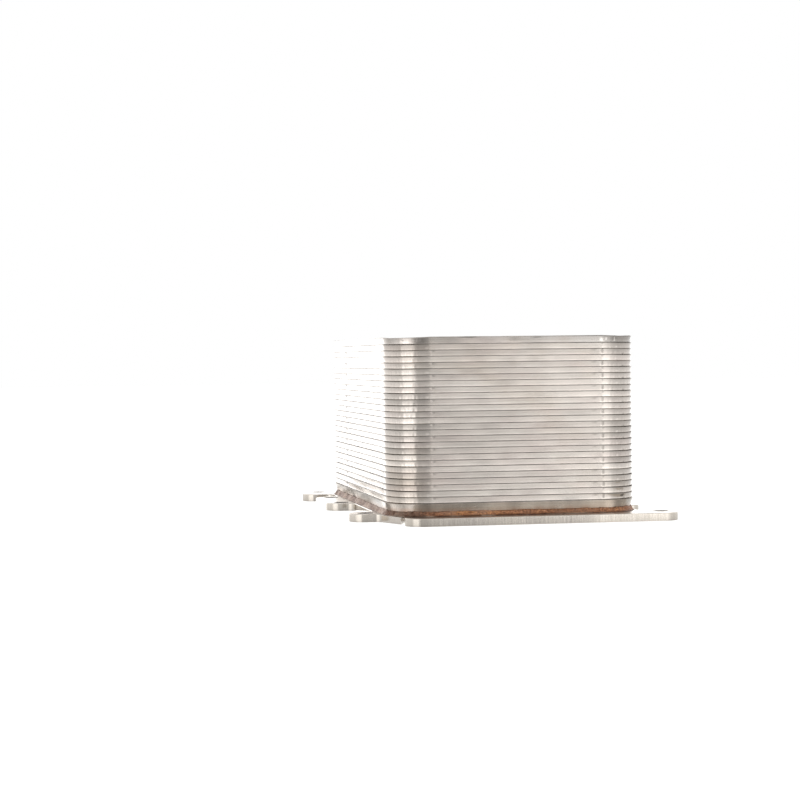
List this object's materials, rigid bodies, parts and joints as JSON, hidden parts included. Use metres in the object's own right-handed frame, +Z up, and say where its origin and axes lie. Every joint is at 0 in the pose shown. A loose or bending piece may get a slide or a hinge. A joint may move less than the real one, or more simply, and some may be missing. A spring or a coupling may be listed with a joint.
{
  "type": "brazed plate oil cooler",
  "caption": "Flange-mounted brazed plate oil cooler: nested stainless dish plates with turbulators between them, a closed cover, and a bolt-down flange with ports underneath.",
  "frame": {"origin": "middle of the flange's underside, which is the bottom centre of the whole part", "axes": "+Z up through the plate stack, +Y along its long side, +X along its short side"},
  "size_m": [0.18, 0.248, 0.1015],
  "materials": {
    "plate_steel": "drawn stainless sheet, satin, with braze staining along the rims",
    "cover_steel": "drawn stainless sheet, satin, with handling marks",
    "base_steel": "heavy drawn stainless sheet, smooth and darker",
    "flange_steel": "flat ground plate with cut edges",
    "copper_braze": "rough, mottled, oxidised copper fillet",
    "fin_steel": "thin corrugated stainless sheet"
  },
  "bodies": {
    "root": {"mounting_flange": "flange_steel", "braze_fillet": "copper_braze", "base_plate": "base_steel", "channel_plate_01": "plate_steel", "channel_plate_02": "plate_steel", "channel_plate_03": "plate_steel", "channel_plate_04": "plate_steel", "channel_plate_05": "plate_steel", "channel_plate_06": "plate_steel", "channel_plate_07": "plate_steel", "channel_plate_08": "plate_steel", "channel_plate_09": "plate_steel", "channel_plate_10": "plate_steel", "channel_plate_11": "plate_steel", "channel_plate_12": "plate_steel", "channel_plate_13": "plate_steel", "channel_plate_14": "plate_steel", "channel_plate_15": "plate_steel", "channel_plate_16": "plate_steel", "channel_plate_17": "plate_steel", "channel_plate_18": "plate_steel", "channel_plate_19": "plate_steel", "channel_plate_20": "plate_steel", "channel_plate_21": "plate_steel", "channel_plate_22": "plate_steel", "channel_plate_23": "plate_steel", "channel_plate_24": "plate_steel", "channel_plate_25": "plate_steel", "channel_plate_26": "plate_steel", "turbulator_01": "fin_steel", "turbulator_02": "fin_steel", "turbulator_03": "fin_steel", "turbulator_04": "fin_steel", "turbulator_05": "fin_steel", "turbulator_06": "fin_steel", "turbulator_07": "fin_steel", "turbulator_08": "fin_steel", "turbulator_09": "fin_steel", "turbulator_10": "fin_steel", "turbulator_11": "fin_steel", "turbulator_12": "fin_steel", "turbulator_13": "fin_steel", "cover_plate": "cover_steel"}
  },
  "joints": []
}
